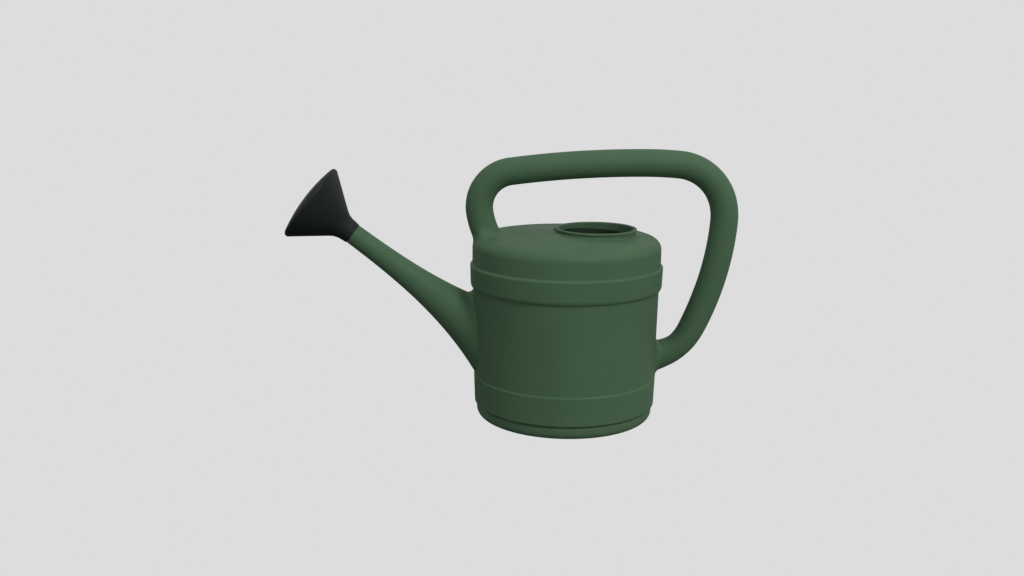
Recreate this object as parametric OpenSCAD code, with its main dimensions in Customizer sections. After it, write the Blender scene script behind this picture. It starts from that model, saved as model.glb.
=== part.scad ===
// Garden watering can of eight to ten litres: a banded drum, a domed cover with an
// off-centre fill mouth, a tube handle that bridges cover and drum, a trumpet
// spout and a pull-off rose. Millimetres. The origin is the centre of the foot
// on the floor, +Z is up, the spout points to -X and the handle's back to +X.

/* [Drum] */
// Outer radius just above the foot
foot_r = 115; // [113:0.5:116]
// Outer radius at the rim
rim_r = 120; // [119.5:0.1:120]
// Height of the drum's rim
tank_h = 197.5; // [196.5:0.5:197.5]
// Wall thickness of drum and cover
wall = 2.6; // [2.2:0.1:3]
// Thickness of the drum's floor
floor_t = 3; // [2.5:0.5:4]
// How far the underside is recessed between foot ring and hub
recess = 3.5; // [2.5:0.5:4]
// Top of the lower belt
belt_top = 54.8; // [48:0.2:58]
// How far the lower belt stands proud at its top
belt_proud = 1.2; // [0.8:0.1:1.6]

/* [Cover] */
// Lower edge of the cover's skirt, which is the upper band
skirt_z0 = 172.7; // [171.5:0.1:174]
// Upper edge of the band
band_top = 200; // [199.6:0.1:200.4]
// Outer radius of the band
band_r = 123.8; // [123.4:0.1:124.4]
// Outer radius of the shoulder wall above the band
shoulder_r = 121.4; // [121:0.1:121.8]
// Radius of the rounded shoulder
shoulder_round = 14; // [12:0.5:16]
// Height where the shoulder starts to round
shoulder_z = 222.5; // [220:0.5:225]
// Height of the dome's crown
crown_z = 244.5; // [243.5:0.1:245]

/* [Fill mouth] */
// How far the mouth sits behind the middle
mouth_x = 37; // [36:0.5:40]
// Clear radius of the mouth
mouth_r = 47.2; // [45:0.1:48]
// Outer radius of its lip
lip_r = 52.7; // [51:0.1:53.5]
// Height of the lip
lip_z = 247.5; // [247:0.5:250]

/* [Handle] */
// Outer radius of the handle tube
tube_r = 17.6; // [17:0.1:18]
// Wall thickness of the handle tube
tube_wall = 2.6; // [2.2:0.1:3.2]
// Where the tube leaves the cover, measured behind the middle
handle_x = -103.7; // [-104.2:0.1:-103.2]
// Height of that point
handle_z = 239; // [238.5:0.1:239.5]

/* [Spout] */
// Rise of the spout above the horizontal, degrees
spout_angle = 36.9; // [36.5:0.1:37.3]
// Distance of the spout's shoulder in front of the middle
tip_x = -275; // [-277:1:-273]
// Height of the spout's shoulder
tip_z = 236.8; // [236:0.2:237.6]
// Outer radius of the spout at its shoulder
tip_r = 13.4; // [13.2:0.1:13.6]
// Wall thickness of the spout
spout_wall = 2.4; // [2:0.1:2.8]
// Height of the port in the drum
port_z = 98; // [96:0.5:100]

/* [Rose] */
// Length of the spout's spigot inside the rose
spigot_l = 22; // [20:0.5:24]
// Radius of that spigot
spigot_r = 11.6; // [11.4:0.1:11.8]
// Running clearance between spigot and rose socket, per side
run_gap = 0.06; // [0.03:0.01:0.09]
// Outer radius of the rose's rim
rose_r = 52.8; // [52.6:0.1:53.2]
// Radius of each hole in the rose face
hole_r = 0.9; // [0.7:0.1:1.1]
// Rings of holes around the middle one
hole_rings = 4; // [3:1:5]

/* [Hidden] */
$fn = 64;
can_green = "#3f5f45";
rose_black = "#1b2420";
seal_black = "#202020";
steel = "#b8babd";
port_r = 24.3;
neck_r = 24;
dome_r = 680;                    // sphere of the cover's top
screw_x = -99;                   // front screw, up through the dome
screw_z = 84;                    // rear screw, back through the drum wall

// --- rounded profiles: each point is [r, z, fillet] and turns into an arc ---
function unit(v) = v / norm(v);
function arc(a, b, c, f, n) =
    f <= 0 ? [[b[0], b[1]]] :
    let (u = unit([a[0] - b[0], a[1] - b[1]]), w = unit([c[0] - b[0], c[1] - b[1]]),
         g = acos(max(-1, min(1, u * w))) / 2, t = f / tan(g), m = unit(u + w),
         o = [b[0], b[1]] + m * f / sin(g), s = [b[0], b[1]] + u * t - o, e = [b[0], b[1]] + w * t - o,
         a0 = atan2(s[1], s[0]), a1 = atan2(e[1], e[0]), d = ((a1 - a0 + 540) % 360) - 180)
    [for (k = [0:n]) o + f * [cos(a0 + d * k / n), sin(a0 + d * k / n)]];
function rounded(p) = [for (i = [0:len(p) - 1])
    each arc(p[(i + len(p) - 1) % len(p)], p[i], p[(i + 1) % len(p)], p[i][2], p[i][2] > 5 ? 7 : 3)];

// height of the cover's domed top at radius r, d below its skin
function dome(r, d = 0) = crown_z - dome_r + sqrt(pow(dome_r - d, 2) - r * r);

// drum wall radius at height z, between the belt and the rim
wall_r0 = 118.9 - belt_proud;
function drum_r(z) = wall_r0 + (rim_r - 0.1 - wall_r0) * (z - 57) / (172 - 57);

// --- drum -----------------------------------------------------------------
tank_outer = [[foot_r - 0.3, 0, 9.5], [foot_r, 18.4, 0.5], [117.7, 20.8, 1.2], [118.9, belt_top, 1],
              [wall_r0, belt_top + 1.8, 0.6], [rim_r - 0.1, 172, 0], [rim_r, 182.5, 0], [rim_r + 0.9, 183.4, 0],
              [rim_r + 0.9, 185.4, 0], [rim_r, 186.8, 0]];
module tank_body() {
    rotate_extrude() polygon(rounded(concat(
        [[0, recess, 0], [93, recess, 1.5], [95, 0, 0.6]], tank_outer,
        [[rim_r, tank_h, 0.8], [rim_r - wall, tank_h, 0.8], [rim_r - wall - 0.1, 172, 0],
         [wall_r0 - wall, belt_top + 2.5, 0.8], [118.9 - wall, belt_top - 1, 0.8], [117.6 - wall, 21.5, 0.8],
         [foot_r - wall, 19, 0.8], [foot_r - wall - 0.3, recess + floor_t, 7], [0, recess + floor_t, 0]])));
}
// a plain solid as large as the drum's outside, grown by g
module drum_envelope(g = 0) {
    rotate_extrude() polygon([[0, 20], [118.9 + g, 20], [118.9 + g, belt_top + g / 2], [wall_r0 + g, belt_top + 1.8 + g / 2],
        [rim_r - 0.1 + g, 172], [rim_r - 0.1 + g, 190], [0, 190]]);
}
module tank() {
    color(can_green) difference() {
        union() {
            tank_body();
            // hub and ribs of the underside
            cylinder(r = 14, h = recess + 0.5);
            for (a = [0:60:300]) rotate(a) translate([10, -1.5, 0.4]) cube([84, 3, recess]);
            // flat seats inside the wall for the spout's nut and the rear screw
            intersection() {
                translate([-118, 0, port_z]) rotate([0, 90, 0]) cylinder(r = 33, h = 9.5);
                cylinder(r = 116.6, h = 170);
            }
            intersection() {
                translate([109.5, 0, screw_z]) rotate([0, 90, 0]) cylinder(r = 10, h = 8);
                cylinder(r = 116.6, h = 170);
            }
        }
        translate([-130, 0, port_z]) rotate([0, 90, 0]) cylinder(r = port_r, h = 30);
        translate([100, 0, screw_z]) rotate([0, 90, 0]) cylinder(r = 1.9, h = 30);
    }
}

// --- cover ------------------------------------------------------------------
rc = shoulder_r - 0.1 - shoulder_round;          // centre of the rounded shoulder
function shoulder(d, n = 9) = let (R = shoulder_round - d)
    [for (k = [0:n]) let (a = 82 * k / n) [rc + R * cos(a), shoulder_z + R * sin(a)]];
function top_arc(d, n = 10) = [for (k = [1:n]) let (r = (rc - 2) * (1 - k / n)) [r, dome(r, d)]];
function rev(l) = [for (i = [len(l) - 1:-1:0]) l[i]];
cover_outer = concat(rounded([[rim_r + 1.2, skirt_z0, 0.5], [rim_r + 2, skirt_z0, 0.4], [band_r - 0.2, skirt_z0 + 3.2, 1.4],
    [band_r, band_top - 0.6, 1.5], [shoulder_r, band_top + 2.5, 0.7], [shoulder_r - 0.05, 212, 0]]), shoulder(0), top_arc(0));
module cover_shell() {
    rotate_extrude() polygon(concat(cover_outer, rev(top_arc(wall)), rev(shoulder(wall)),
        [[shoulder_r - wall, 200], [rim_r + 1.2, 200], [rim_r + 1.2, 182], [rim_r + 0.4, 180.8],
         [rim_r + 0.4, 178.8], [rim_r + 1.2, 177.4]]));
}
// a plain solid as large as the cover's outside
module cover_envelope() {
    rotate_extrude() polygon(concat([[0, 190], [shoulder_r, 190]], shoulder(0), top_arc(0)));
}
module top_cover() {
    color(can_green) difference() {
        union() {
            cover_shell();
            // collar: a low neck under a rounded lip
            translate([mouth_x, 0, 0]) rotate_extrude() polygon(rounded([[mouth_r - 2, 237.5, 0], [lip_r - 1.7, 237.5, 0],
                [lip_r - 1.7, lip_z - 3.7, 0.4], [lip_r, lip_z - 3, 0.6], [lip_r, lip_z, 1.5], [mouth_r - 2, lip_z, 0]]));
            // seat for the front screw under the dome
            intersection() {
                translate([screw_x, 0, 229]) cylinder(r = 9.5, h = 10);
                cover_envelope();
            }
        }
        translate([mouth_x, 0, 200]) cylinder(r = mouth_r, h = 100);
        translate([mouth_x, 0, lip_z - 1.2]) cylinder(r1 = mouth_r, r2 = mouth_r + 1.4, h = 1.4);
        translate([screw_x, 0, 220]) cylinder(r = 1.9, h = 30);
    }
}
module cover_seal() {
    color(seal_black) rotate_extrude() polygon([[rim_r - 2.4, tank_h], [rim_r + 0.4, tank_h], [rim_r + 0.4, 200], [rim_r - 2.4, 200]]);
}

// --- handle: a chain of arcs, each [radius of the bend, degrees, steps] ------------
bends = [[105, 8, 2], [105, 7.5, 2], [46, 91.5, 15], [1262, 8, 4], [450, 5, 2], [65, 71, 12], [78, 17.5, 3],
         [370, 22.5, 4], [78, 19, 3], [78, 10, 2]];
last = len(bends) - 1;
handle_dir = 115;
// pose [x, z, heading] after a degrees of bend k, and after k whole bends
function turned(p, R, a) = [p[0] + R * sin(p[2]) - R * sin(p[2] - a), p[1] - R * cos(p[2]) + R * cos(p[2] - a), p[2] - a];
function pose(k) = k == 0 ? [handle_x, handle_z, handle_dir] : turned(pose(k - 1), bends[k - 1][0], bends[k - 1][1]);
function stations(k0, k1) = concat([for (k = [k0:k1], i = [0:bends[k][2] - 1])
    turned(pose(k), bends[k][0], bends[k][1] * i / bends[k][2])], [pose(k1 + 1)]);
// the same, starting 2 mm further on, where the front foot's stub covers it
function clear_of_cover(st) = [for (i = [0:len(st) - 1]) i == 0 ? turned(pose(0), bends[0][0], 1.1) : st[i]];
// solid of radius r swept through the stations
module sweep(st, r, n = 40) {
    m = len(st);
    polyhedron(
        points = [for (p = st, j = [0:n - 1]) let (a = 360 * (j + 0.5) / n)
            [p[0] - r * cos(a) * sin(p[2]), r * sin(a), p[1] + r * cos(a) * cos(p[2])]],
        faces = concat([[for (j = [n - 1:-1:0]) j]], [[for (j = [0:n - 1]) (m - 1) * n + j]],
            [for (i = [0:m - 2], j = [0:n - 1]) let (k = (j + 1) % n) [i * n + j, i * n + k, (i + 1) * n + k, (i + 1) * n + j]]));
}
// along the tube's own direction at pose p
module along(p, l) { translate([p[0], 0, p[1]]) rotate([0, 90 - p[2], 0]) translate([0, 0, l]) children(); }
// concave flare from radius r0 out to r0 + f, f high, widest at z = 0
module flare(r0, f) {
    rotate_extrude() polygon(concat([[0, -6], [r0 + f, -6]],
        [for (a = [8:14:78]) [r0 + f - f * sin(a), f - f * cos(a)]], [[r0 - 1, f + 1], [0, f + 1]]));
}
module front_foot() {
    difference() {
        union() {
            along(pose(0), -34) cylinder(r = tube_r + 0.4, h = 38);
            intersection() {
                along([-102, 233.5, 100], 0) flare(tube_r + 0.6, 8);
                cylinder(r = shoulder_r - 0.3, h = 300);
            }
        }
        cover_envelope();
    }
}
module rear_foot() {
    difference() {
        union() {
            along([137, 85.4, -155], -3) cylinder(r = tube_r + 0.4, h = 34);
            translate([117, 0, 83.5]) rotate([0, 90, 0]) flare(tube_r + 1, 12);
        }
        drum_envelope();
    }
}
// pilot holes of the two screws
module pilots() {
    translate([screw_x, 0, 200]) cylinder(r = 1.6, h = 49);
    translate([100, 0, screw_z]) rotate([0, 90, 0]) cylinder(r = 1.6, h = 34);
}
module handle() {
    color(can_green) {
        difference() {
            sweep(clear_of_cover(stations(0, last)), tube_r);
            sweep(stations(1, last - 1), tube_r - tube_wall);
            pilots();
        }
        difference() { front_foot(); pilots(); }
        difference() { rear_foot(); pilots(); }
    }
}

// --- handle fasteners ---------------------------------------------------------
module screw(l) {
    // pan head below, shank up
    rotate_extrude() polygon(rounded([[0, 0, 0], [4.2, 0, 1.4], [4.2, 3, 0.2], [1.6, 3, 0.2], [1.6, 3 + l - 1.5, 0], [0.8, 3 + l, 0], [0, 3 + l, 0]]));
}
module handle_screws() {
    color(steel) {
        translate([screw_x, 0, 229 - 1.5 - 3]) difference() { screw(20); translate([0, 0, -1]) cylinder(r = 2, h = 2.6, $fn = 6); }
        translate([109.5 - 1.5 - 3, 0, screw_z]) rotate([0, 90, 0]) difference() { screw(22); translate([0, 0, -1]) cylinder(r = 2, h = 2.6, $fn = 6); }
    }
}
module screw_washers() {
    color(seal_black) {
        translate([screw_x, 0, 229 - 1.5]) difference() { cylinder(r = 6, h = 1.5); translate([0, 0, -1]) cylinder(r = 1.8, h = 4); }
        translate([109.5 - 1.5, 0, screw_z]) rotate([0, 90, 0]) difference() { cylinder(r = 6, h = 1.5); translate([0, 0, -1]) cylinder(r = 1.8, h = 4); }
    }
}

// --- spout ---------------------------------------------------------------------
// everything on the spout's axis: local +Z runs outward to the rose, 0 at the shoulder
module on_spout() { translate([tip_x, 0, tip_z]) rotate([0, -(90 - spout_angle), 0]) children(); }
function spout_r(s) = let (t = s / 100) tip_r + 1.1 * t + 1.7 * t * t + 1.95 * t * t * t;
module spout() {
    color(can_green) difference() {
        union() {
            difference() {
                union() {
                    on_spout() rotate_extrude() polygon(concat([[0, spigot_l], [spigot_r - 0.8, spigot_l], [spigot_r, spigot_l - 0.8], [spigot_r, 0.3], [tip_r - 0.3, 0.3]],
                        [for (s = [0:12:264]) [spout_r(s), -s]], [[0, -264]]));
                }
                drum_envelope();
                translate([-100, -150, 0]) cube([400, 300, 300]);
            }
            // neck through the port
            translate([-126, 0, port_z]) rotate([0, 90, 0]) cylinder(r = neck_r, h = 30);
        }
        // hollow, closed towards the drum by a web round the neck
        difference() {
            on_spout() rotate_extrude() polygon(concat([[0, spigot_l + 1], [spigot_r - 1.9, spigot_l + 1], [spigot_r - 1.9, 0]],
                [for (s = [12:12:264]) [spout_r(s) - spout_wall, -s]], [[0, -264]]));
            drum_envelope(3);
            translate([-100, -150, 0]) cube([400, 300, 300]);
        }
        translate([-123.5, 0, port_z]) rotate([0, 90, 0]) cylinder(r = neck_r - 2.4, h = 40);
        // groove for the gasket
        intersection() {
            translate([-130, 0, port_z]) rotate([0, 90, 0]) difference() { cylinder(r = 29, h = 30); translate([0, 0, -1]) cylinder(r = neck_r, h = 32); }
            drum_envelope(2);
        }
    }
}
module spout_seal() {
    color(seal_black) difference() {
        intersection() {
            translate([-130, 0, port_z]) rotate([0, 90, 0]) difference() { cylinder(r = 28.8, h = 30); translate([0, 0, -1]) cylinder(r = neck_r + 0.1, h = 32); }
            drum_envelope(2);
        }
        drum_envelope();
    }
}
module spout_nut() {
    // six-lobed ring nut on the neck, against the flat seat inside the drum
    color(can_green) translate([-108.5, 0, port_z]) rotate([0, 90, 0]) difference() {
        union() {
            cylinder(r = 29.5, h = 8);
            for (a = [0:60:300]) rotate(a) translate([29, 0, 0]) cylinder(r = 4, h = 8, $fn = 32);
        }
        translate([0, 0, -1]) cylinder(r = neck_r + 0.1, h = 12);
    }
}

// --- rose -----------------------------------------------------------------------
bore_r = spigot_r + run_gap;
module rose_shell() {
    color(rose_black) on_spout() rotate_extrude() polygon(rounded([
        [bore_r, 0.35, 0.2], [13.9, 0.35, 0.5], [14.5, 5, 0], [15.3, 12.5, 6], [17.4, 18.5, 9], [21, 23.8, 6], [rose_r - 0.1, 64.4, 0.5],
        [rose_r - 0.1, 65, 0.2], [50, 65, 0], [50, 62.6, 0], [48.2, 62.6, 0], [19.2, 26.5, 4], [9.6, 26.3, 0.4], [9.6, 24.6, 0], [12.5, 24.6, 0], [12.5, spigot_l + 0.3, 0.2], [bore_r, spigot_l - 0.5, 0]]));
}
face_R = 215;
function face_z(r, d = 0) = 76.3 - face_R + sqrt(pow(face_R - d, 2) - r * r);
module rose_face() {
    color(rose_black) on_spout() difference() {
        rotate_extrude() polygon(concat(
            rounded([[47.9, 65, 0], [47.9, 62.8, 0.3], [49.9, 62.8, 0.3], [49.9, 65.15, 0]]),
            [[rose_r - 0.2, 65.15], [rose_r, 65.4]],
            [for (a = [-12:14:72]) [rose_r - 3.15 + 3.2 * cos(a), 66.9 + 3.2 * sin(a)]],
            [for (r = [48:-6:0]) [r, face_z(r)]],
            [for (r = [0:6:42]) [r, face_z(r, 2)]],
            [[46.5, face_z(46.5, 2)], [47.7, 67.6]]));
        cylinder(r = hole_r, h = 90);
        for (k = [1:hole_rings], j = [0:6 * k - 1])
            rotate(j * 60 / k) translate([8.2 * k, 0, 50]) cylinder(r = hole_r, h = 40);
    }
}
module rose_seal() {
    color(seal_black) on_spout() translate([0, 0, spigot_l + 0.2])
        difference() { cylinder(r = 12.2, h = 2.2); translate([0, 0, -1]) cylinder(r = 9.7, h = 5); }
}

tank();
top_cover();
cover_seal();
handle();
handle_screws();
screw_washers();
spout();
spout_seal();
spout_nut();
rose_shell();
rose_face();
rose_seal();
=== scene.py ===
import math

import bmesh
import bpy
import numpy as np
from mathutils import Matrix, Vector


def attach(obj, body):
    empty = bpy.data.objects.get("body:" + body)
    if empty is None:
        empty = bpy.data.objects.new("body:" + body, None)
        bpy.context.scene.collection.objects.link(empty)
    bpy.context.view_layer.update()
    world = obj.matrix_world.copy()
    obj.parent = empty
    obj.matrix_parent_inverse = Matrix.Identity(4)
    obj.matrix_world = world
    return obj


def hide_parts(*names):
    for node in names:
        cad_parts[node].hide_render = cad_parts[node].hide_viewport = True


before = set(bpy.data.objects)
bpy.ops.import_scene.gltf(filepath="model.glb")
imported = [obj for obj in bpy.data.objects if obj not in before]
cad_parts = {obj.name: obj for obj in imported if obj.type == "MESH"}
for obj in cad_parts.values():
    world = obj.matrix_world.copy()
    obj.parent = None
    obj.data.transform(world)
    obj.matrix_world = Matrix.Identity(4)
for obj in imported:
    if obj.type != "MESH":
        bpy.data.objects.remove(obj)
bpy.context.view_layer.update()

MM = 0.001
RAD = math.radians
scene = bpy.context.scene

# ---------------------------------------------------------------------------
# camera: eye level a little above the can, looking down 12 degrees, level to 0.55
# ---------------------------------------------------------------------------
PITCH, ROLL = RAD(12.0), RAD(0.55)
FOCAL_PX = 1100.0
TARGET = Vector((-0.0699, 0.0, 0.1676))
DIST = 1.430
cam = bpy.data.objects.new("camera", bpy.data.cameras.new("camera"))
scene.collection.objects.link(cam)
cam.data.sensor_width = 36.0
cam.data.lens = 36.0 * FOCAL_PX / 1024.0
cam.data.clip_start, cam.data.clip_end = 0.02, 120.0
look = Vector((0, math.cos(PITCH), -math.sin(PITCH)))
cam.location = TARGET - look * DIST
right = Vector((1, 0, 0))
up = right.cross(look)
r2 = right * math.cos(ROLL) + up * math.sin(ROLL)
u2 = up * math.cos(ROLL) - right * math.sin(ROLL)
m = Matrix((r2, u2, -look)).transposed().to_4x4()
m.translation = cam.location
cam.matrix_world = m
scene.camera = cam

# ---------------------------------------------------------------------------
# dimensions, millimetres, the same values as the CAD part
# ---------------------------------------------------------------------------
WALL = 2.6
CROWN, DOME_R = 243.7, 748.0
SHOULDER_R, SHOULDER_ROUND, SHOULDER_Z = 121.4, 14.0, 222.5
RC = SHOULDER_R - 0.1 - SHOULDER_ROUND
MOUTH_X, MOUTH_R, LIP_R, LIP_Z = 37.0, 48.0, 52.7, 247.9
TUBE_R, TUBE_WALL = 17.6, 2.6
SPOUT_A = RAD(36.9)
TIP = np.array([-275.0, 0.0, 236.8])
SPIGOT_L, SPIGOT_R = 22.0, 11.6
PORT_Z, NECK_R = 98.0, 24.0
AXIS_OUT = np.array([-math.cos(SPOUT_A), 0.0, math.sin(SPOUT_A)])  # from drum to rose
SIDE = np.array([0.0, 1.0, 0.0])
UPN = np.array([math.sin(SPOUT_A), 0.0, math.cos(SPOUT_A)])  # square to the spout, upward


def dome(r, d=0.0):
    return CROWN - DOME_R + np.sqrt((DOME_R - d) ** 2 - np.asarray(r, float) ** 2)


# ---------------------------------------------------------------------------
# profile and mesh helpers
# ---------------------------------------------------------------------------
def rounded(points, closed=True, fine=1.0):
    """[r, z, fillet] corners to a polyline with true arcs."""
    out = []
    n = len(points)
    for i, (x, y, f) in enumerate(points):
        if f <= 0 or (not closed and i in (0, n - 1)):
            out.append((x, y))
            continue
        a = np.array(points[(i - 1) % n][:2], float)
        b = np.array([x, y], float)
        c = np.array(points[(i + 1) % n][:2], float)
        u, w = (a - b) / np.linalg.norm(a - b), (c - b) / np.linalg.norm(c - b)
        half = math.acos(max(-1, min(1, float(u @ w)))) / 2
        if half > RAD(89.7):
            out.append((x, y))
            continue
        t = f / math.tan(half)
        mid = (u + w) / np.linalg.norm(u + w)
        o = b + mid * f / math.sin(half)
        s, e = b + u * t - o, b + w * t - o
        a0, a1 = math.atan2(s[1], s[0]), math.atan2(e[1], e[0])
        d = (a1 - a0 + 3 * math.pi) % (2 * math.pi) - math.pi
        steps = max(3, int(round(fine * abs(d) / RAD(11))), int(fine * 2 * math.sqrt(f)))
        for k in range(steps + 1):
            g = a0 + d * k / steps
            out.append((o[0] + f * math.cos(g), o[1] + f * math.sin(g)))
    return out


def supported(profile, near=0.5, longest=14.0, closed=True):
    """Adds points close to both ends of each long run, and along it, so that smooth shading stays on the roundings."""
    out = []
    n = len(profile)
    for i in range(n if closed else n - 1):
        a, b = np.array(profile[i], float), np.array(profile[(i + 1) % n], float)
        out.append(tuple(a))
        length = np.linalg.norm(b - a)
        if length > 4 * near:
            cuts = [near / length]
            inner = max(0, int(math.ceil((length - 2 * near) / longest)) - 1)
            cuts += [near / length + (1 - 2 * near / length) * (k + 1) / (inner + 1) for k in range(inner)]
            cuts.append(1 - near / length)
            out += [tuple(a + (b - a) * t) for t in cuts]
    if not closed:
        out.append(tuple(profile[-1]))
    return out


def circle(n, phase=0.0):
    a = np.linspace(0, 2 * math.pi, n, endpoint=False) + phase
    return np.cos(a), np.sin(a)


def ring(r, z, n, cx=0.0):
    c, s = circle(n)
    return np.stack([cx + r * c, r * s, np.full(n, float(z))], 1)


def loft(rows, loop=False):
    """Quads between equal rows of points, each row a closed ring."""
    rows = [np.asarray(r, float) for r in rows]
    n, m = len(rows[0]), len(rows)
    faces = []
    for i in range(m if loop else m - 1):
        a, b = i * n, ((i + 1) % m) * n
        for j in range(n):
            k = (j + 1) % n
            faces.append((a + j, a + k, b + k, b + j))
    return np.concatenate(rows), faces


def make(name, verts, faces, sharp=38.0, weld=2e-7):
    """A mesh object in metres from millimetre points; coincident points are joined and normals turned outward."""
    me = bpy.data.meshes.new(name)
    me.from_pydata((np.asarray(verts, float) * MM).tolist(), [], faces)
    ob = bpy.data.objects.new(name, me)
    scene.collection.objects.link(ob)
    tidy(ob, sharp, weld)
    return ob


def tidy(ob, sharp=38.0, weld=2e-7):
    bm = bmesh.new()
    bm.from_mesh(ob.data)
    bmesh.ops.remove_doubles(bm, verts=bm.verts, dist=weld)
    bmesh.ops.dissolve_degenerate(bm, edges=bm.edges, dist=1e-8)
    loose = [v for v in bm.verts if not v.link_faces]
    bmesh.ops.delete(bm, geom=loose, context="VERTS")
    bmesh.ops.recalc_face_normals(bm, faces=bm.faces)
    if bm.calc_volume(signed=True) < 0:
        bmesh.ops.reverse_faces(bm, faces=bm.faces)
    bm.to_mesh(ob.data)
    bm.free()
    ob.data.shade_smooth()
    ob.data.set_sharp_from_angle(angle=RAD(sharp))


def cut(ob, tools, operation="DIFFERENCE", sharp=38.0):
    """Exact booleans, applied, with the tools removed."""
    for t in tools:
        mod = ob.modifiers.new("b", "BOOLEAN")
        mod.object, mod.operation, mod.solver = t, operation, "EXACT"
        dg = bpy.context.evaluated_depsgraph_get()
        me = bpy.data.meshes.new_from_object(ob.evaluated_get(dg))
        ob.modifiers.clear()
        old = ob.data
        ob.data = me
        bpy.data.meshes.remove(old)
        data = t.data
        bpy.data.objects.remove(t)
        bpy.data.meshes.remove(data)
    tidy(ob, sharp, 1e-7)
    return ob


def rod(name, a, b, r, n=64, chamfer=0.0, r2=None):
    """A closed cylinder or cone between two points, with an optional chamfer; used as a boolean tool."""
    a, b = np.array(a, float), np.array(b, float)
    r2 = r if r2 is None else r2
    w = (b - a) / np.linalg.norm(b - a)
    u = np.cross(w, [0, 1, 0] if abs(w[1]) < 0.9 else [1, 0, 0])
    u /= np.linalg.norm(u)
    v = np.cross(w, u)
    c, s = circle(n)
    rows = [np.repeat(a[None], n, 0)]
    steps = [(a, r - chamfer), (a + w * chamfer, r), (b - w * chamfer, r2), (b, r2 - chamfer)] if chamfer else [(a, r), (b, r2)]
    for p, q in steps:
        rows.append(p + q * (c[:, None] * u + s[:, None] * v))
    rows.append(np.repeat(b[None], n, 0))
    return make(name, *loft(rows))


class Solid:
    """Signed distance to a solid of revolution about Z, from its outline."""

    def __init__(self, outline):
        p = np.array(outline, float)
        self.a, self.b = p[:-1], p[1:]
        e = self.b - self.a
        self.e, self.l2 = e, np.maximum((e * e).sum(1), 1e-12)
        self.n = np.stack([e[:, 1], -e[:, 0]], 1) / np.sqrt(self.l2)[:, None]  # outward for an outline going up

    def both(self, P):
        P = np.atleast_2d(P)
        rr = np.hypot(P[:, 0], P[:, 1])
        q = np.stack([rr, P[:, 2]], 1)[:, None, :]
        t = np.clip(((q - self.a) * self.e).sum(2) / self.l2, 0, 1)
        near = self.a + t[..., None] * self.e
        d = q - near
        dist = np.sqrt((d * d).sum(2))
        k = dist.argmin(1)
        i = np.arange(len(P))
        d, dist = d[i, k], dist[i, k]
        sign = np.where((d * self.n[k]).sum(1) < 0, -1.0, 1.0)
        g = np.where(dist[:, None] > 1e-6, d / np.maximum(dist, 1e-9)[:, None] * sign[:, None], self.n[k])
        rad = np.stack([P[:, 0], P[:, 1]], 1) / np.maximum(rr, 1e-9)[:, None]
        grad = np.stack([g[:, 0] * rad[:, 0], g[:, 0] * rad[:, 1], g[:, 1]], 1)
        return dist * sign, grad

    def project(self, P, level=0.0):
        P = np.array(P, float)
        for _ in range(12):
            s, g = self.both(P)
            P = P - (s - level)[:, None] * g
        return P


def blended_root(position, normal, solid, radii, s_far, s_near, rows_before=10, arc_rows=10, sink=0.4, cap_rows=5):
    """Rows that carry a skin (position(s, column), normal(s, column)) down onto a solid, through a fillet whose radius
    varies by column, ending in a ring sunk just under the solid's skin. s runs from s_far, well clear, to s_near,
    inside the solid."""
    n = len(radii)
    lo, hi = np.full(n, float(s_near)), np.full(n, float(s_far))
    scan = np.linspace(s_far, s_near, 160)
    done = np.zeros(n, bool)
    for k, s in enumerate(scan[1:], 1):
        sv = np.full(n, s)
        d, _ = solid.both(position(sv) + radii[:, None] * normal(sv))
        hit = (d < radii) & ~done
        lo[hit], hi[hit] = s, scan[k - 1]
        done |= hit
    for _ in range(40):
        mid = (lo + hi) / 2
        d, _ = solid.both(position(mid) + radii[:, None] * normal(mid))
        inside = d < radii
        lo, hi = np.where(inside, mid, lo), np.where(inside, hi, mid)
    s1 = (lo + hi) / 2
    p1, n1 = position(s1), normal(s1)
    centre = p1 + radii[:, None] * n1
    _, g = solid.both(centre)
    rows = []
    for k in range(1, rows_before + 1):
        t = k / rows_before
        t = 1 - (1 - t) ** 1.5
        rows.append(position(s_far + (s1 - s_far) * t))
    u, w = -n1, -g
    dot = np.clip((u * w).sum(1), -1, 1)
    om = np.arccos(dot)
    for k in range(1, arc_rows + 1):
        t = k / arc_rows
        so = np.maximum(np.sin(om), 1e-6)
        v = np.where((om > 1e-4)[:, None], (np.sin((1 - t) * om) / so)[:, None] * u + (np.sin(t * om) / so)[:, None] * w, w)
        rows.append(centre + radii[:, None] * v)
    edge = rows[-1]
    rows.append(solid.project(edge, -sink))
    foot = rows[-1]
    return rows, foot, s1


def shrink_rows(foot, solid, sink, rows, centre=None, to=0.0):
    """Rows from a ring on a solid's skin inward over that skin."""
    c = foot.mean(0) if centre is None else np.asarray(centre, float)
    out = []
    for k in range(1, rows + 1):
        t = 1 - (1 - to) * k / rows
        q = c + (foot - c) * t
        out.append(solid.project(q, -sink))
    return out


# ---------------------------------------------------------------------------
# materials
# ---------------------------------------------------------------------------
def nodes_of(name):
    mat = bpy.data.materials.new(name)
    mat.use_nodes = True
    nt = mat.node_tree
    nt.nodes.clear()
    out = nt.nodes.new("ShaderNodeOutputMaterial")
    bsdf = nt.nodes.new("ShaderNodeBsdfPrincipled")
    nt.links.new(bsdf.outputs["BSDF"], out.inputs["Surface"])
    return mat, nt, bsdf


def noise(nt, vec, scale, detail=3.0, rough=0.55, distortion=0.0):
    n = nt.nodes.new("ShaderNodeTexNoise")
    n.inputs["Scale"].default_value = scale
    n.inputs["Detail"].default_value = detail
    n.inputs["Roughness"].default_value = rough
    n.inputs["Distortion"].default_value = distortion
    nt.links.new(vec, n.inputs["Vector"])
    return n.outputs["Fac"]


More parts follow.
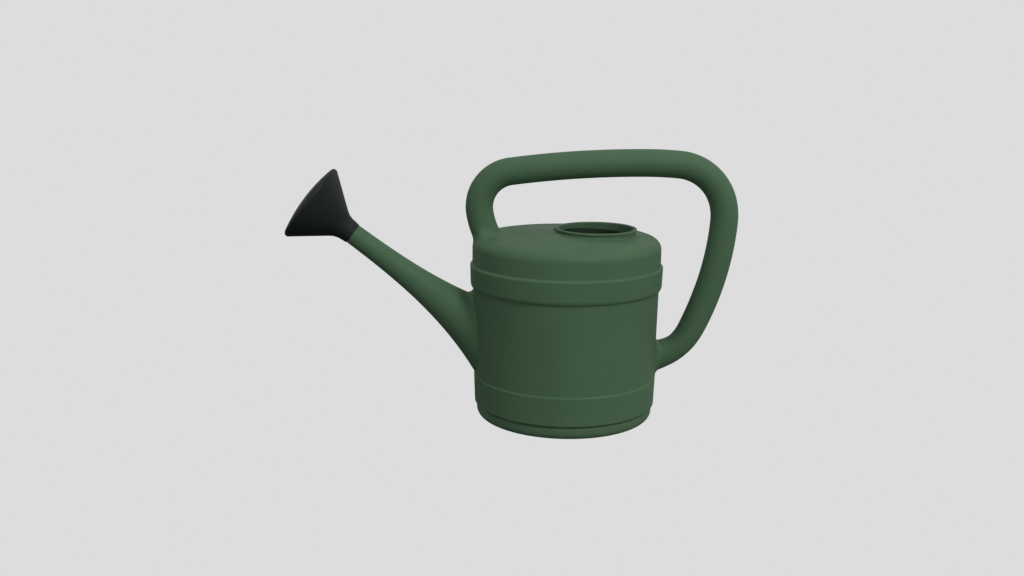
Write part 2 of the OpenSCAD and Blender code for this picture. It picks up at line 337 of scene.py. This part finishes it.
def span(nt, fac, lo, hi, to_lo, to_hi, smooth=True):
    r = nt.nodes.new("ShaderNodeMapRange")
    r.interpolation_type = "SMOOTHSTEP" if smooth else "LINEAR"
    r.inputs["From Min"].default_value, r.inputs["From Max"].default_value = lo, hi
    r.inputs["To Min"].default_value, r.inputs["To Max"].default_value = to_lo, to_hi
    nt.links.new(fac, r.inputs["Value"])
    return r.outputs["Result"]


def mix(nt, fac, a, b, blend="MIX"):
    x = nt.nodes.new("ShaderNodeMix")
    x.data_type, x.blend_type = "RGBA", blend
    for socket, value in ((x.inputs[6], a), (x.inputs[7], b)):
        if isinstance(value, (tuple, list)):
            socket.default_value = (*value[:3], 1)
        else:
            nt.links.new(value, socket)
    if isinstance(fac, float):
        x.inputs[0].default_value = fac
    else:
        nt.links.new(fac, x.inputs[0])
    return x.outputs[2]


def op(nt, kind, a, b=None):
    x = nt.nodes.new("ShaderNodeMath")
    x.operation = kind
    for i, v in enumerate((a, b)):
        if v is None:
            continue
        if isinstance(v, (int, float)):
            x.inputs[i].default_value = v
        else:
            nt.links.new(v, x.inputs[i])
    return x.outputs[0]


def moulded(name, base, light, dark, rough=(0.52, 0.64), grain=0.35, scuffs=0.5, specular=0.14, dust=0.0):
    """Moulded polyethylene: grained skin, faint flow clouds, scuffed high edges, fine scratches, a little dust low down."""
    mat, nt, bsdf = nodes_of(name)
    obj = nt.nodes.new("ShaderNodeTexCoord").outputs["Object"]
    geo = nt.nodes.new("ShaderNodeNewGeometry")
    cloud = noise(nt, obj, 9.0, 3.0, 0.5, 0.6)
    speck = noise(nt, obj, 240.0, 2.0, 0.6)
    fine = noise(nt, obj, 1500.0, 2.0, 0.6)
    # colour: slow pigment clouds and a fine mottle
    col = mix(nt, span(nt, cloud, 0.3, 0.7, 0.0, 1.0), dark, light)
    col = mix(nt, 0.55, col, base)
    col = mix(nt, span(nt, speck, 0.35, 0.65, 0.0, 0.22), col, light)
    # scuffed edges
    edge = span(nt, geo.outputs["Pointiness"], 0.515, 0.60, 0.0, 1.0)
    patch = span(nt, noise(nt, obj, 42.0, 4.0, 0.65), 0.42, 0.62, 0.0, 1.0)
    worn = op(nt, "MULTIPLY", op(nt, "MULTIPLY", edge, patch), scuffs)
    pale = tuple(min(1.0, c * 1.9 + 0.012) for c in base)
    col = mix(nt, worn, col, pale)
    # scratches: two crossed families of thin streaks
    streaks = []
    for k, (turn, stretch) in enumerate((((0.3, 0.2, 0.5), (30.0, 900.0, 900.0)), ((0.1, 0.9, -0.4), (900.0, 26.0, 700.0)))):
        mp = nt.nodes.new("ShaderNodeMapping")
        mp.inputs["Rotation"].default_value = turn
        mp.inputs["Scale"].default_value = stretch
        nt.links.new(obj, mp.inputs["Vector"])
        streaks.append(span(nt, noise(nt, mp.outputs["Vector"], 1.0, 1.0, 0.5), 0.70, 0.76, 0.0, 1.0))
    where = span(nt, noise(nt, obj, 14.0, 2.0, 0.5), 0.52, 0.66, 0.0, 1.0)
    scratch = op(nt, "MULTIPLY", op(nt, "MAXIMUM", streaks[0], streaks[1]), where)
    col = mix(nt, op(nt, "MULTIPLY", scratch, 0.22 * scuffs), col, pale)
    if dust:
        sep = nt.nodes.new("ShaderNodeSeparateXYZ")
        nt.links.new(obj, sep.inputs[0])
        low = span(nt, sep.outputs["Z"], 0.0, 0.045, 1.0, 0.0)
        soil = op(nt, "MULTIPLY", op(nt, "MULTIPLY", low, span(nt, noise(nt, obj, 60.0, 5.0, 0.7), 0.40, 0.70, 0.0, 1.0)), dust)
        col = mix(nt, soil, col, (0.16, 0.145, 0.12))
    nt.links.new(col, bsdf.inputs["Base Color"])
    # sheen of the skin
    r = span(nt, noise(nt, obj, 26.0, 4.0, 0.6), 0.3, 0.7, rough[0], rough[1])
    r = op(nt, "ADD", r, op(nt, "MULTIPLY", worn, 0.10))
    r = op(nt, "ADD", r, op(nt, "MULTIPLY", scratch, 0.08))
    nt.links.new(r, bsdf.inputs["Roughness"])
    bsdf.inputs["Specular IOR Level"].default_value = specular
    # relief: mould grain, slight shrink waviness, scratches
    h = op(nt, "ADD", op(nt, "MULTIPLY", fine, 0.5), op(nt, "MULTIPLY", noise(nt, obj, 620.0, 3.0, 0.6), 0.7))
    h = op(nt, "SUBTRACT", h, op(nt, "MULTIPLY", scratch, 0.35))
    b1 = nt.nodes.new("ShaderNodeBump")
    b1.inputs["Strength"].default_value = grain
    b1.inputs["Distance"].default_value = 0.00012
    nt.links.new(h, b1.inputs["Height"])
    b2 = nt.nodes.new("ShaderNodeBump")
    b2.inputs["Strength"].default_value = 0.25
    b2.inputs["Distance"].default_value = 0.0006
    nt.links.new(noise(nt, obj, 18.0, 2.0, 0.5), b2.inputs["Height"])
    nt.links.new(b1.outputs["Normal"], b2.inputs["Normal"])
    nt.links.new(b2.outputs["Normal"], bsdf.inputs["Normal"])
    return mat


GREEN = (0.052, 0.105, 0.056)
green = moulded("green_polyethylene", GREEN, (0.058, 0.116, 0.062), (0.046, 0.094, 0.050), dust=0.10)
black = moulded("black_polyethylene", (0.0112, 0.0165, 0.0134), (0.0133, 0.0192, 0.0155), (0.0090, 0.0132, 0.0107),
                rough=(0.46, 0.58), scuffs=0.6, specular=0.13)


def rubber():
    mat, nt, bsdf = nodes_of("seal_rubber")
    obj = nt.nodes.new("ShaderNodeTexCoord").outputs["Object"]
    col = mix(nt, span(nt, noise(nt, obj, 55.0, 4.0, 0.6), 0.3, 0.7, 0.0, 1.0), (0.014, 0.014, 0.014), (0.026, 0.026, 0.025))
    bloom = span(nt, noise(nt, obj, 240.0, 3.0, 0.6), 0.55, 0.75, 0.0, 0.35)
    nt.links.new(mix(nt, bloom, col, (0.05, 0.05, 0.048)), bsdf.inputs["Base Color"])
    nt.links.new(span(nt, noise(nt, obj, 120.0, 3.0, 0.6), 0.3, 0.7, 0.62, 0.82), bsdf.inputs["Roughness"])
    bsdf.inputs["Specular IOR Level"].default_value = 0.35
    b = nt.nodes.new("ShaderNodeBump")
    b.inputs["Strength"].default_value, b.inputs["Distance"].default_value = 0.4, 0.0001
    nt.links.new(noise(nt, obj, 1400.0, 2.0, 0.6), b.inputs["Height"])
    nt.links.new(b.outputs["Normal"], bsdf.inputs["Normal"])
    return mat


def plated_steel():
    mat, nt, bsdf = nodes_of("zinc_plated_steel")
    obj = nt.nodes.new("ShaderNodeTexCoord").outputs["Object"]
    col = mix(nt, span(nt, noise(nt, obj, 130.0, 4.0, 0.6), 0.3, 0.7, 0.0, 1.0), (0.50, 0.51, 0.52), (0.62, 0.62, 0.60))
    geo = nt.nodes.new("ShaderNodeNewGeometry")
    dull = span(nt, geo.outputs["Pointiness"], 0.40, 0.49, 1.0, 0.0)
    nt.links.new(mix(nt, op(nt, "MULTIPLY", dull, 0.5), col, (0.16, 0.13, 0.09)), bsdf.inputs["Base Color"])
    bsdf.inputs["Metallic"].default_value = 1.0
    nt.links.new(span(nt, noise(nt, obj, 420.0, 3.0, 0.6), 0.3, 0.7, 0.28, 0.44), bsdf.inputs["Roughness"])
    b = nt.nodes.new("ShaderNodeBump")
    b.inputs["Strength"].default_value, b.inputs["Distance"].default_value = 0.3, 0.00008
    nt.links.new(noise(nt, obj, 1800.0, 2.0, 0.6), b.inputs["Height"])
    nt.links.new(b.outputs["Normal"], bsdf.inputs["Normal"])
    return mat


seal_rubber, steel = rubber(), plated_steel()


def paint(ob, mat):
    ob.data.materials.clear()
    ob.data.materials.append(mat)
    for p in ob.data.polygons:
        p.material_index = 0


def piece(ob, body, node, mat):
    paint(ob, mat)
    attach(ob, body)
    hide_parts(node)
    return ob


# ---------------------------------------------------------------------------
# drum
# ---------------------------------------------------------------------------
N = 192
FOOT_R, RIM_R, TANK_H, FLOOR, RECESS = 115.0, 120.0, 197.5, 3.0, 3.5
BELT_TOP, BELT_R = 54.8, 118.9
WALL_R0 = 117.7
outer = [[FOOT_R - 0.3, 0, 9.5], [FOOT_R, 13.6, 0.8], [FOOT_R - 1.8, 15.6, 0.5], [117.7, 19.5, 0.6], [BELT_R, BELT_TOP, 1.0], [WALL_R0, BELT_TOP + 1.8, 0.6],
         [RIM_R - 0.1, 172, 0], [RIM_R, 182.5, 0], [RIM_R + 0.9, 183.4, 0], [RIM_R + 0.9, 185.4, 0], [RIM_R, 186.8, 0]]
drum_profile = rounded(
    [[0, RECESS, 0], [93, RECESS, 1.5], [95, 0, 0.6]] + outer +
    [[RIM_R, TANK_H, 0.8], [RIM_R - WALL, TANK_H, 0.8], [RIM_R - WALL - 0.1, 172, 0], [WALL_R0 - WALL, BELT_TOP + 2.5, 0.8],
     [BELT_R - WALL, BELT_TOP - 1, 0.8], [117.6 - WALL, 21.5, 0.8], [FOOT_R - WALL, 19, 0.8],
     [FOOT_R - WALL - 0.3, RECESS + FLOOR, 7], [0, RECESS + FLOOR, 0]], closed=False)
drum_profile = supported(drum_profile, closed=False)
drum = make("drum", *loft([ring(r, z, N) for r, z in drum_profile]))
# hub and ribs under the floor, seats inside the wall, then the port and the screw hole
adds = [rod("t", (0, 0, 0), (0, 0, RECESS + 0.5), 14, 96, 0.35)]


def bar(name, angle):
    x0, x1, w, z0, z1, c = 10.0, 94.0, 1.5, 0.4, RECESS + 0.4, 0.5
    pts = []
    for x in (x0, x1):
        pts += [(x, -w, z1), (x, -w, z0 + c), (x, -w + c, z0), (x, w - c, z0), (x, w, z0 + c), (x, w, z1)]
    P = np.array(pts)
    c_, s_ = math.cos(angle), math.sin(angle)
    P = np.stack([P[:, 0] * c_ - P[:, 1] * s_, P[:, 0] * s_ + P[:, 1] * c_, P[:, 2]], 1)
    F = [tuple(range(6)), tuple(range(11, 5, -1))] + [(k, (k + 1) % 6, 6 + (k + 1) % 6, 6 + k) for k in range(6)]
    return make(name, P, F)


adds += [bar("t", RAD(60 * k)) for k in range(6)]
adds += [rod("t", (-116.4, 0, PORT_Z), (-108.5, 0, PORT_Z), 33, 96, 0.0), rod("t", (109.5, 0, 84), (117, 0, 84), 10, 48, 0.0)]
cut(drum, adds, "UNION")
cut(drum, [rod("t", (-135, 0, PORT_Z), (-100, 0, PORT_Z), 24.3, 96), rod("t", (100, 0, 84), (135, 0, 84), 1.9, 32)])
piece(drum, "can", "tank", green)


# the drum's plain outside, for seating the spout and the handle's foot on it
def drum_outline(g=0.0):
    return rounded([[60, 6, 0], [FOOT_R - 0.3 + g, 6, 0], [FOOT_R + g, 18.4, 0.5], [117.7 + g, 20.8, 1.2], [BELT_R + g, BELT_TOP, 1.0],
                    [WALL_R0 + g, BELT_TOP + 1.8, 0.6], [RIM_R - 0.1 + g, 172, 0], [RIM_R - 0.1 + g, 260, 0]], closed=False)


drum_solid = Solid(drum_outline())
drum_solid_web = Solid(drum_outline(3.0))

# ---------------------------------------------------------------------------
# cover: band, shoulder, domed top, off-centre collar, all one skin
# ---------------------------------------------------------------------------
def shoulder(d, n=16):
    R = SHOULDER_ROUND - d
    return [(RC + R * math.cos(RAD(82 * k / n)), SHOULDER_Z + R * math.sin(RAD(82 * k / n))) for k in range(n + 1)]


low_outer = rounded([[RIM_R + 1.2, 172.7, 0.3], [RIM_R + 2.6, 172.8, 0.4], [123.5, 175.9, 1.3], [124.3, 199.9, 1.3],
                     [SHOULDER_R, 202.4, 0.7], [SHOULDER_R - 0.05, 212, 0], [SHOULDER_R - 0.1, 222.5, 0]], closed=False)
low_outer = supported(low_outer, closed=False)[:-1]
low_inner = supported([(SHOULDER_R - WALL, 222.5), (SHOULDER_R - WALL, 200), (RIM_R + 1.2, 200), (RIM_R + 1.2, 182),
                       (RIM_R + 0.4, 180.8), (RIM_R + 0.4, 178.8), (RIM_R + 1.2, 177.4)], closed=False)[1:]
rows = [ring(r, z, N) for r, z in low_outer + shoulder(0)]


def between(r_out, d, r_in, steps, lo=0.0):
    """Rows over the dome from the circle about the can's axis to the circle about the mouth's axis."""
    c, s = circle(N)
    a = np.stack([r_out * c, r_out * s], 1)
    b = np.stack([MOUTH_X + r_in * c, r_in * s], 1)
    out = []
    for k in range(1, steps + 1):
        t = k / steps
        t = t * (1 - lo) + lo * (1 - (1 - t) ** 2)
        q = a + (b - a) * t
        out.append(np.stack([q[:, 0], q[:, 1], dome(np.hypot(q[:, 0], q[:, 1]), d)], 1))
    return out


FIL = 1.8  # fillet between dome and collar
NECK = LIP_R - 1.0  # the collar's neck under its lip
rows += between(RC + 1.2, 0.0, NECK + FIL, 22, 0.5)
c, s = circle(N)
z_in = dome(np.hypot(MOUTH_X + (NECK + FIL) * c, (NECK + FIL) * s))
for k in range(1, 8):
    a = RAD(90 * k / 8)
    r = NECK + FIL * (1 - math.sin(a))
    rows.append(np.stack([MOUTH_X + r * c, r * s, np.minimum(z_in + FIL * (1 - math.cos(a)), LIP_Z - 3.3)], 1))
lip = rounded([[NECK, 240, 0], [NECK, LIP_Z - 3.2, 0.25], [LIP_R, LIP_Z - 2.9, 0.7], [LIP_R, LIP_Z, 1.2], [MOUTH_R, LIP_Z, 1.4], [MOUTH_R, 243, 0]], closed=False, fine=1.6)
z_wall = np.minimum(z_in + FIL, LIP_Z - 3.28)
for k, (r, z) in enumerate(lip):
    if k == 0:
        rows.append(np.stack([MOUTH_X + r * c, r * s, z_wall], 1))
    elif k < len(lip) - 1:
        rows.append(ring(r, z, N, MOUTH_X))
z_under = dome(np.hypot(MOUTH_X + MOUTH_R * c, MOUTH_R * s), WALL)
for dz in (1.6, 0.8):
    rows.append(np.stack([MOUTH_X + MOUTH_R * c, MOUTH_R * s, z_under + dz], 1))
rows.append(np.stack([MOUTH_X + (MOUTH_R + 0.25) * c, (MOUTH_R + 0.25) * s, z_under + 0.2], 1))
under = between(RC + 1.0, WALL, MOUTH_R + 0.9, 14, 0.3)
rows += under[::-1]
rows += [ring(r, z, N) for r, z in shoulder(WALL)[::-1]]
rows += [ring(r, z, N) for r, z in low_inner]
cover = make("cover", *loft(rows, loop=True))
cut(cover, [rod("t", (-99, 0, 229), (-99, 0, 236), 9.5, 48, 0.0)], "UNION")
cut(cover, [rod("t", (-99, 0, 220), (-99, 0, 246), 1.9, 32)])
piece(cover, "can", "top_cover", green)
cover_solid = Solid([(SHOULDER_R, 150), (SHOULDER_R, 205)] + [(SHOULDER_R - 0.05, 212)] + shoulder(0, 40) +
                    [(r, float(dome(r))) for r in np.linspace(RC, 0, 30)])

# ---------------------------------------------------------------------------
# handle: a tube swept through arcs, its feet flowing into cover and drum
# ---------------------------------------------------------------------------
BENDS = [(105, 15.5), (46, 91.5), (1262, 8), (450, 5), (65, 71), (78, 17.5), (370, 22.5), (78, 29)]
path, here = [], np.array([-103.7, 239.0, 115.0])
arc_at = [0.0]
stations = [(0.0, *here)]
for R, turn in BENDS:
    steps = max(3, int(math.ceil(turn / 3.0)), int(math.ceil(R * RAD(turn) / 7.0)))
    x, z, h = here
    for k in range(1, steps + 1):
        a = turn * k / steps
        stations.append((arc_at[-1] + R * RAD(a), x + R * math.sin(RAD(h)) - R * math.sin(RAD(h - a)),
                         z - R * math.cos(RAD(h)) + R * math.cos(RAD(h - a)), h - a))
    arc_at.append(arc_at[-1] + R * RAD(turn))
    here = np.array([x + R * math.sin(RAD(h)) - R * math.sin(RAD(h - turn)), z - R * math.cos(RAD(h)) + R * math.cos(RAD(h - turn)), h - turn])
S = np.array(stations)
LEN = S[-1, 0]
# straight on into cover and drum
h0, h1 = S[0, 3], S[-1, 3]
pre = np.array([(-t, S[0, 1] - t * math.cos(RAD(h0)), S[0, 2] - t * math.sin(RAD(h0)), h0) for t in range(60, 0, -4)])
END_H = -155.0
post, p = [], S[-1].copy()
for k in range(20):
    hh = h1 + (END_H - h1) * min(1.0, (k + 1) / 5.0)
    p = np.array([p[0] + 3.0, p[1] + 3.0 * math.cos(RAD(hh)), p[2] + 3.0 * math.sin(RAD(hh)), hh])
    post.append(p.copy())
S = np.concatenate([pre, S, np.array(post)])
NT = 96
cphi, sphi = circle(NT)


# on its inner side the tube thins a little just above the rear foot
PINCH_AT = [LEN - 130, LEN - 85, LEN - 57, LEN - 40, LEN - 22, LEN - 12, LEN - 3, LEN + 5, LEN + 14]
PINCH_BY = [0.0, 0.1, 0.6, 1.1, 2.3, 2.8, 1.6, -0.6, -0.6]


def tube_pos(sv, r=TUBE_R):
    x, z, h = (np.interp(sv, S[:, 0], S[:, k]) for k in (1, 2, 3))
    r = r - np.interp(sv, PINCH_AT, PINCH_BY) * np.clip(-cphi, 0, 1) ** 1.5
    return np.stack([x - r * cphi * np.sin(np.radians(h)), r * sphi * np.ones_like(x), z + r * cphi * np.cos(np.radians(h))], 1)


def tube_nrm(sv):
    h = np.radians(np.interp(sv, S[:, 0], S[:, 3]))
    return np.stack([-cphi * np.sin(h), sphi * np.ones_like(h), cphi * np.cos(h)], 1)


# at the front foot column 0 faces forward and down, at the rear foot it faces backward and down
back_side = (1 - cphi) / 2
front_radii = 20.0 * (1 - back_side ** 2.5) + 3.0 * back_side ** 2.5
rear_radii = 3.4 + 10.0 * sphi ** 2 + 5.4 * ((1 + cphi) / 2) ** 2
front, foot_a, s_a = blended_root(tube_pos, tube_nrm, cover_solid, front_radii, 46.0, -50.0, 14, 16)
rear, foot_b, s_b = blended_root(tube_pos, tube_nrm, drum_solid, rear_radii, LEN - 44.0, LEN + 50.0, 10, 12)
middle = [tube_pos(np.full(NT, v)) for v in S[:, 0] if 46.0 < v < LEN - 44.0]
middle = [tube_pos(np.full(NT, 46.0))] + middle + [tube_pos(np.full(NT, LEN - 44.0))]
cap_a = shrink_rows(foot_a, cover_solid, 0.4, 6)
cap_b = shrink_rows(foot_b, drum_solid, 0.4, 6)
rows = cap_a[::-1] + front[::-1] + middle + rear + cap_b
handle = make("handle_tube", *loft(rows), sharp=45)
piece(handle, "can", "handle", green)

# ---------------------------------------------------------------------------
# spout
# ---------------------------------------------------------------------------
def spout_r(sv):
    t = np.asarray(sv, float) / 100
    return 13.4 + 1.1 * t + 1.7 * t ** 2 + 1.95 * t ** 3


def spout_dr(sv):
    t = np.asarray(sv, float) / 100
    return (1.1 + 3.4 * t + 5.85 * t ** 2) / 100


NS = 128
cs, ss = circle(NS)
E = cs[:, None] * UPN + ss[:, None] * SIDE


def spout_pos(sv, inset=0.0):
    sv = np.asarray(sv, float) * np.ones(NS)
    return TIP - sv[:, None] * AXIS_OUT + (spout_r(sv) - inset)[:, None] * E


def spout_nrm(sv):
    sv = np.asarray(sv, float) * np.ones(NS)
    v = E + spout_dr(sv)[:, None] * AXIS_OUT
    return v / np.linalg.norm(v, axis=1)[:, None]


spout_radii = 1.2 + 6.0 * np.clip(cs, 0, 1) ** 1.6
root, foot_s, s_s = blended_root(spout_pos, spout_nrm, drum_solid, spout_radii, 110.0, 262.0, 34, 9)
tip_profile = rounded([[NECK_R, 0, 0], [SPIGOT_R - 1.9, SPIGOT_L, 0.4], [SPIGOT_R, SPIGOT_L, 0.8], [SPIGOT_R, 0.3, 0.35], [13.1, 0.3, 0.35],
                       [13.4, -3, 0]], closed=False)[1:]


def on_axis(r, s_out):
    return TIP + s_out * AXIS_OUT + r * E


rows = [on_axis(r, z) for r, z in supported(tip_profile, closed=False)]
rows += [spout_pos(v) for v in np.arange(6, 111, 4.0)]
rows += root
# over the drum's skin to the neck, through the port, back up the inside
cx, sx = circle(NS)
neck = lambda r, x: np.stack([np.full(NS, float(x)), r * sx, PORT_Z + r * cx], 1)
neck_out = drum_solid.project(neck(NECK_R, -119), -0.4)
for k in range(1, 7):
    t = k / 7
    rows.append(drum_solid.project(foot_s + (neck_out - foot_s) * t, -0.4))
rows.append(neck_out)
rows += [neck(NECK_R, -112), neck(NECK_R, -96.6), neck(NECK_R - 0.6, -96), neck(NECK_R - 2.0, -96), neck(NECK_R - 2.4, -96.5), neck(NECK_R - 2.4, -112)]
web_in = drum_solid_web.project(neck(NECK_R - 2.4, -122), 0.0)
rows.append(web_in)
lo, hi = np.full(NS, 262.0), np.full(NS, 60.0)
for _ in range(50):
    mid = (lo + hi) / 2
    d, _g = drum_solid_web.both(spout_pos(mid, 2.4))
    lo, hi = np.where(d < 0, mid, lo), np.where(d < 0, hi, mid)
s_in = (lo + hi) / 2
hollow_foot = spout_pos(s_in, 2.4)
for k in range(1, 7):
    rows.append(drum_solid_web.project(web_in + (hollow_foot - web_in) * k / 6, 0.0))
for k in range(1, 21):
    rows.append(spout_pos(s_in + (12.0 - s_in) * k / 20, 2.4))
rows += [on_axis(SPIGOT_R - 1.9, 0), on_axis(SPIGOT_R - 1.9, SPIGOT_L - 1)]
spout = make("spout_horn", *loft(rows, loop=True), sharp=40)
piece(spout, "can", "spout", green)

# ---------------------------------------------------------------------------
# rose: shell and perforated face
# ---------------------------------------------------------------------------
NR = 160
cr, sr = circle(NR)
ER = cr[:, None] * UPN + sr[:, None] * SIDE
BORE_R = SPIGOT_R + 0.06
ROSE_R = 52.8
shell_profile = supported(rounded([
    [BORE_R, 0.35, 0.2], [13.9, 0.35, 0.5], [14.5, 5, 0], [15.3, 12.5, 6], [17.4, 18.5, 9], [21, 23.8, 6], [52.7, 64.4, 0.5],
    [ROSE_R - 0.1, 65, 0.2], [50, 65, 0], [50, 62.6, 0], [48.2, 62.6, 0], [19.2, 26.5, 4], [9.6, 26.3, 0.4],
    [9.6, 24.6, 0], [12.5, 24.6, 0], [12.5, SPIGOT_L + 0.3, 0.2], [BORE_R, SPIGOT_L - 0.5, 0]], fine=1.3), near=0.3, longest=6.0)
rose_shell = make("rose_funnel", *loft([TIP + z * AXIS_OUT + r * ER for r, z in shell_profile], loop=True), sharp=40)
piece(rose_shell, "rose", "rose_shell", black)

FACE_R = 215.0


def face_z(r, d=0.0):
    return 76.3 - FACE_R + math.sqrt((FACE_R - d) ** 2 - r * r)


face_profile = rounded([[47.9, 65.2, 0], [47.9, 62.8, 0.3], [49.9, 62.8, 0.3], [49.9, 65.1, 0], [ROSE_R - 0.2, 65.1, 0.1], [ROSE_R, 65.35, 0]], closed=False)
face_profile += [(ROSE_R - 3.15 + 3.2 * math.cos(RAD(a)), 66.9 + 3.2 * math.sin(RAD(a))) for a in range(-12, 73, 6)]
face_profile += [(r, face_z(r)) for r in (49.6, 48, 46, 43, 39, 35, 30, 25, 20, 15, 10, 5)] + [(0, face_z(0))]
face_under = [(0, face_z(0, 2))] + [(r, face_z(r, 2)) for r in (5, 10, 15, 20, 25, 30, 35, 40, 44, 46.5)]
face_under += [(47.7, 67.6), (47.9, 66.6)]
rows = [TIP + z * AXIS_OUT + r * ER for r, z in face_profile + face_under]
rose_face = make("rose_plate", *loft(rows), sharp=40)


def drill(name, x, y, r=0.9, n=20):
    """Spray hole with a slightly flared mouth, along the rose's axis."""
    z1 = face_z(math.hypot(x, y))
    c_, s_ = circle(n)
    o = TIP + x * SIDE + y * UPN
    e = c_[:, None] * UPN + s_[:, None] * SIDE
    prof = [(0, z1 - 6), (r, z1 - 6), (r, z1 - 0.45), (r + 0.45, z1 + 0.06), (r + 0.5, z1 + 2), (0, z1 + 2)]
    return make(name, *loft([o + z * AXIS_OUT + q * e for q, z in prof]))


holes = [(0.0, 0.0)]
for k in range(1, 5):
    for j in range(6 * k):
        a = RAD(j * 60 / k)
        holes.append((8.2 * k * math.sin(a), 8.2 * k * math.cos(a)))
tools = [drill("t", x, y) for x, y in holes]
joined = bmesh.new()
for t in tools:
    joined.from_mesh(t.data)
first = tools[0]
joined.to_mesh(first.data)
joined.free()
for t in tools[1:]:
    data = t.data
    bpy.data.objects.remove(t)
    bpy.data.meshes.remove(data)
cut(rose_face, [first], sharp=40)
piece(rose_face, "rose", "rose_face", black)

# ---------------------------------------------------------------------------
# small CAD pieces kept as they are, with their own finish
# ---------------------------------------------------------------------------
for node, mat in (("cover_seal", seal_rubber), ("screw_washers", seal_rubber), ("spout_seal", seal_rubber), ("rose_seal", seal_rubber),
                  ("handle_screws", steel), ("spout_nut", green)):
    paint(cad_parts[node], mat)

# ---------------------------------------------------------------------------
# stage, light
# ---------------------------------------------------------------------------
def stage_material(name, emit, grey):
    mat = bpy.data.materials.new(name)
    mat.use_nodes = True
    nt = mat.node_tree
    nt.nodes.clear()
    out = nt.nodes.new("ShaderNodeOutputMaterial")
    em = nt.nodes.new("ShaderNodeEmission")
    em.inputs["Color"].default_value = (1, 1, 1, 1)
    em.inputs["Strength"].default_value = emit
    if not grey:
        nt.links.new(em.outputs[0], out.inputs["Surface"])
        return mat
    df = nt.nodes.new("ShaderNodeBsdfDiffuse")
    df.inputs["Color"].default_value = (grey, grey, grey, 1)
    add = nt.nodes.new("ShaderNodeAddShader")
    nt.links.new(em.outputs[0], add.inputs[0])
    nt.links.new(df.outputs[0], add.inputs[1])
    nt.links.new(add.outputs[0], out.inputs["Surface"])
    return mat


c, s = circle(96)
floor = make("floor", *loft([np.stack([r * 1000 * c, r * 1000 * s, np.zeros(96)], 1) for r in (0, 0.5, 2, 8, 28)]))
paint(floor, stage_material("floor_pale", 0.723, 0.0))
wall_rows = [np.stack([28000 * math.cos(RAD(e)) * c, 28000 * math.cos(RAD(e)) * s, np.full(96, 28000 * math.sin(RAD(e)))], 1) for e in (0, 3, 10, 25, 50, 75, 90)]
backdrop = make("backdrop", *loft(wall_rows))
paint(backdrop, stage_material("backdrop_pale", 0.723, 0.0))
for o in (floor, backdrop):
    o.visible_diffuse = o.visible_glossy = o.visible_transmission = o.visible_shadow = False

world = bpy.data.worlds.new("studio")
scene.world = world
world.use_nodes = True
wt = world.node_tree
sky = wt.nodes["Background"]
sky.inputs[0].default_value = (1.0, 1.0, 1.0, 1)
split = wt.nodes.new("ShaderNodeSeparateXYZ")
wt.links.new(wt.nodes.new("ShaderNodeTexCoord").outputs["Generated"], split.inputs[0])
# a pale room above, a dim floor's bounce below
level = op(wt, "MULTIPLY", split.outputs["Z"], 0.54)
level = op(wt, "ADD", level, op(wt, "MULTIPLY", split.outputs["X"], 0.15))
level = op(wt, "SUBTRACT", level, op(wt, "MULTIPLY", split.outputs["Y"], 0.12))
wt.links.new(op(wt, "MAXIMUM", op(wt, "ADD", level, 0.485), 0.015), sky.inputs[1])


def softbox(name, at, to, size, watts, color=(1, 1, 1)):
    d = bpy.data.lights.new(name, "AREA")
    d.shape, d.size, d.size_y, d.energy, d.color = "RECTANGLE", size[0], size[1], watts, color
    o = bpy.data.objects.new(name, d)
    scene.collection.objects.link(o)
    o.location = at
    o.rotation_mode = "QUATERNION"
    o.rotation_quaternion = (Vector(to) - Vector(at)).to_track_quat("-Z", "Y")
    return o


# the key comes from the right, in front, 42 degrees up
softbox("key", (1.181, -1.891, 2.157), (0, 0, 0.15), (0.5, 0.5), 34)
softbox("inside_fill", (0.03, 0.02, 0.16), (0.03, 0.115, 0.227), (0.03, 0.03), 0.0028).data.spread = RAD(60)

scene.view_settings.view_transform = "Standard"
scene.view_settings.look = "None"
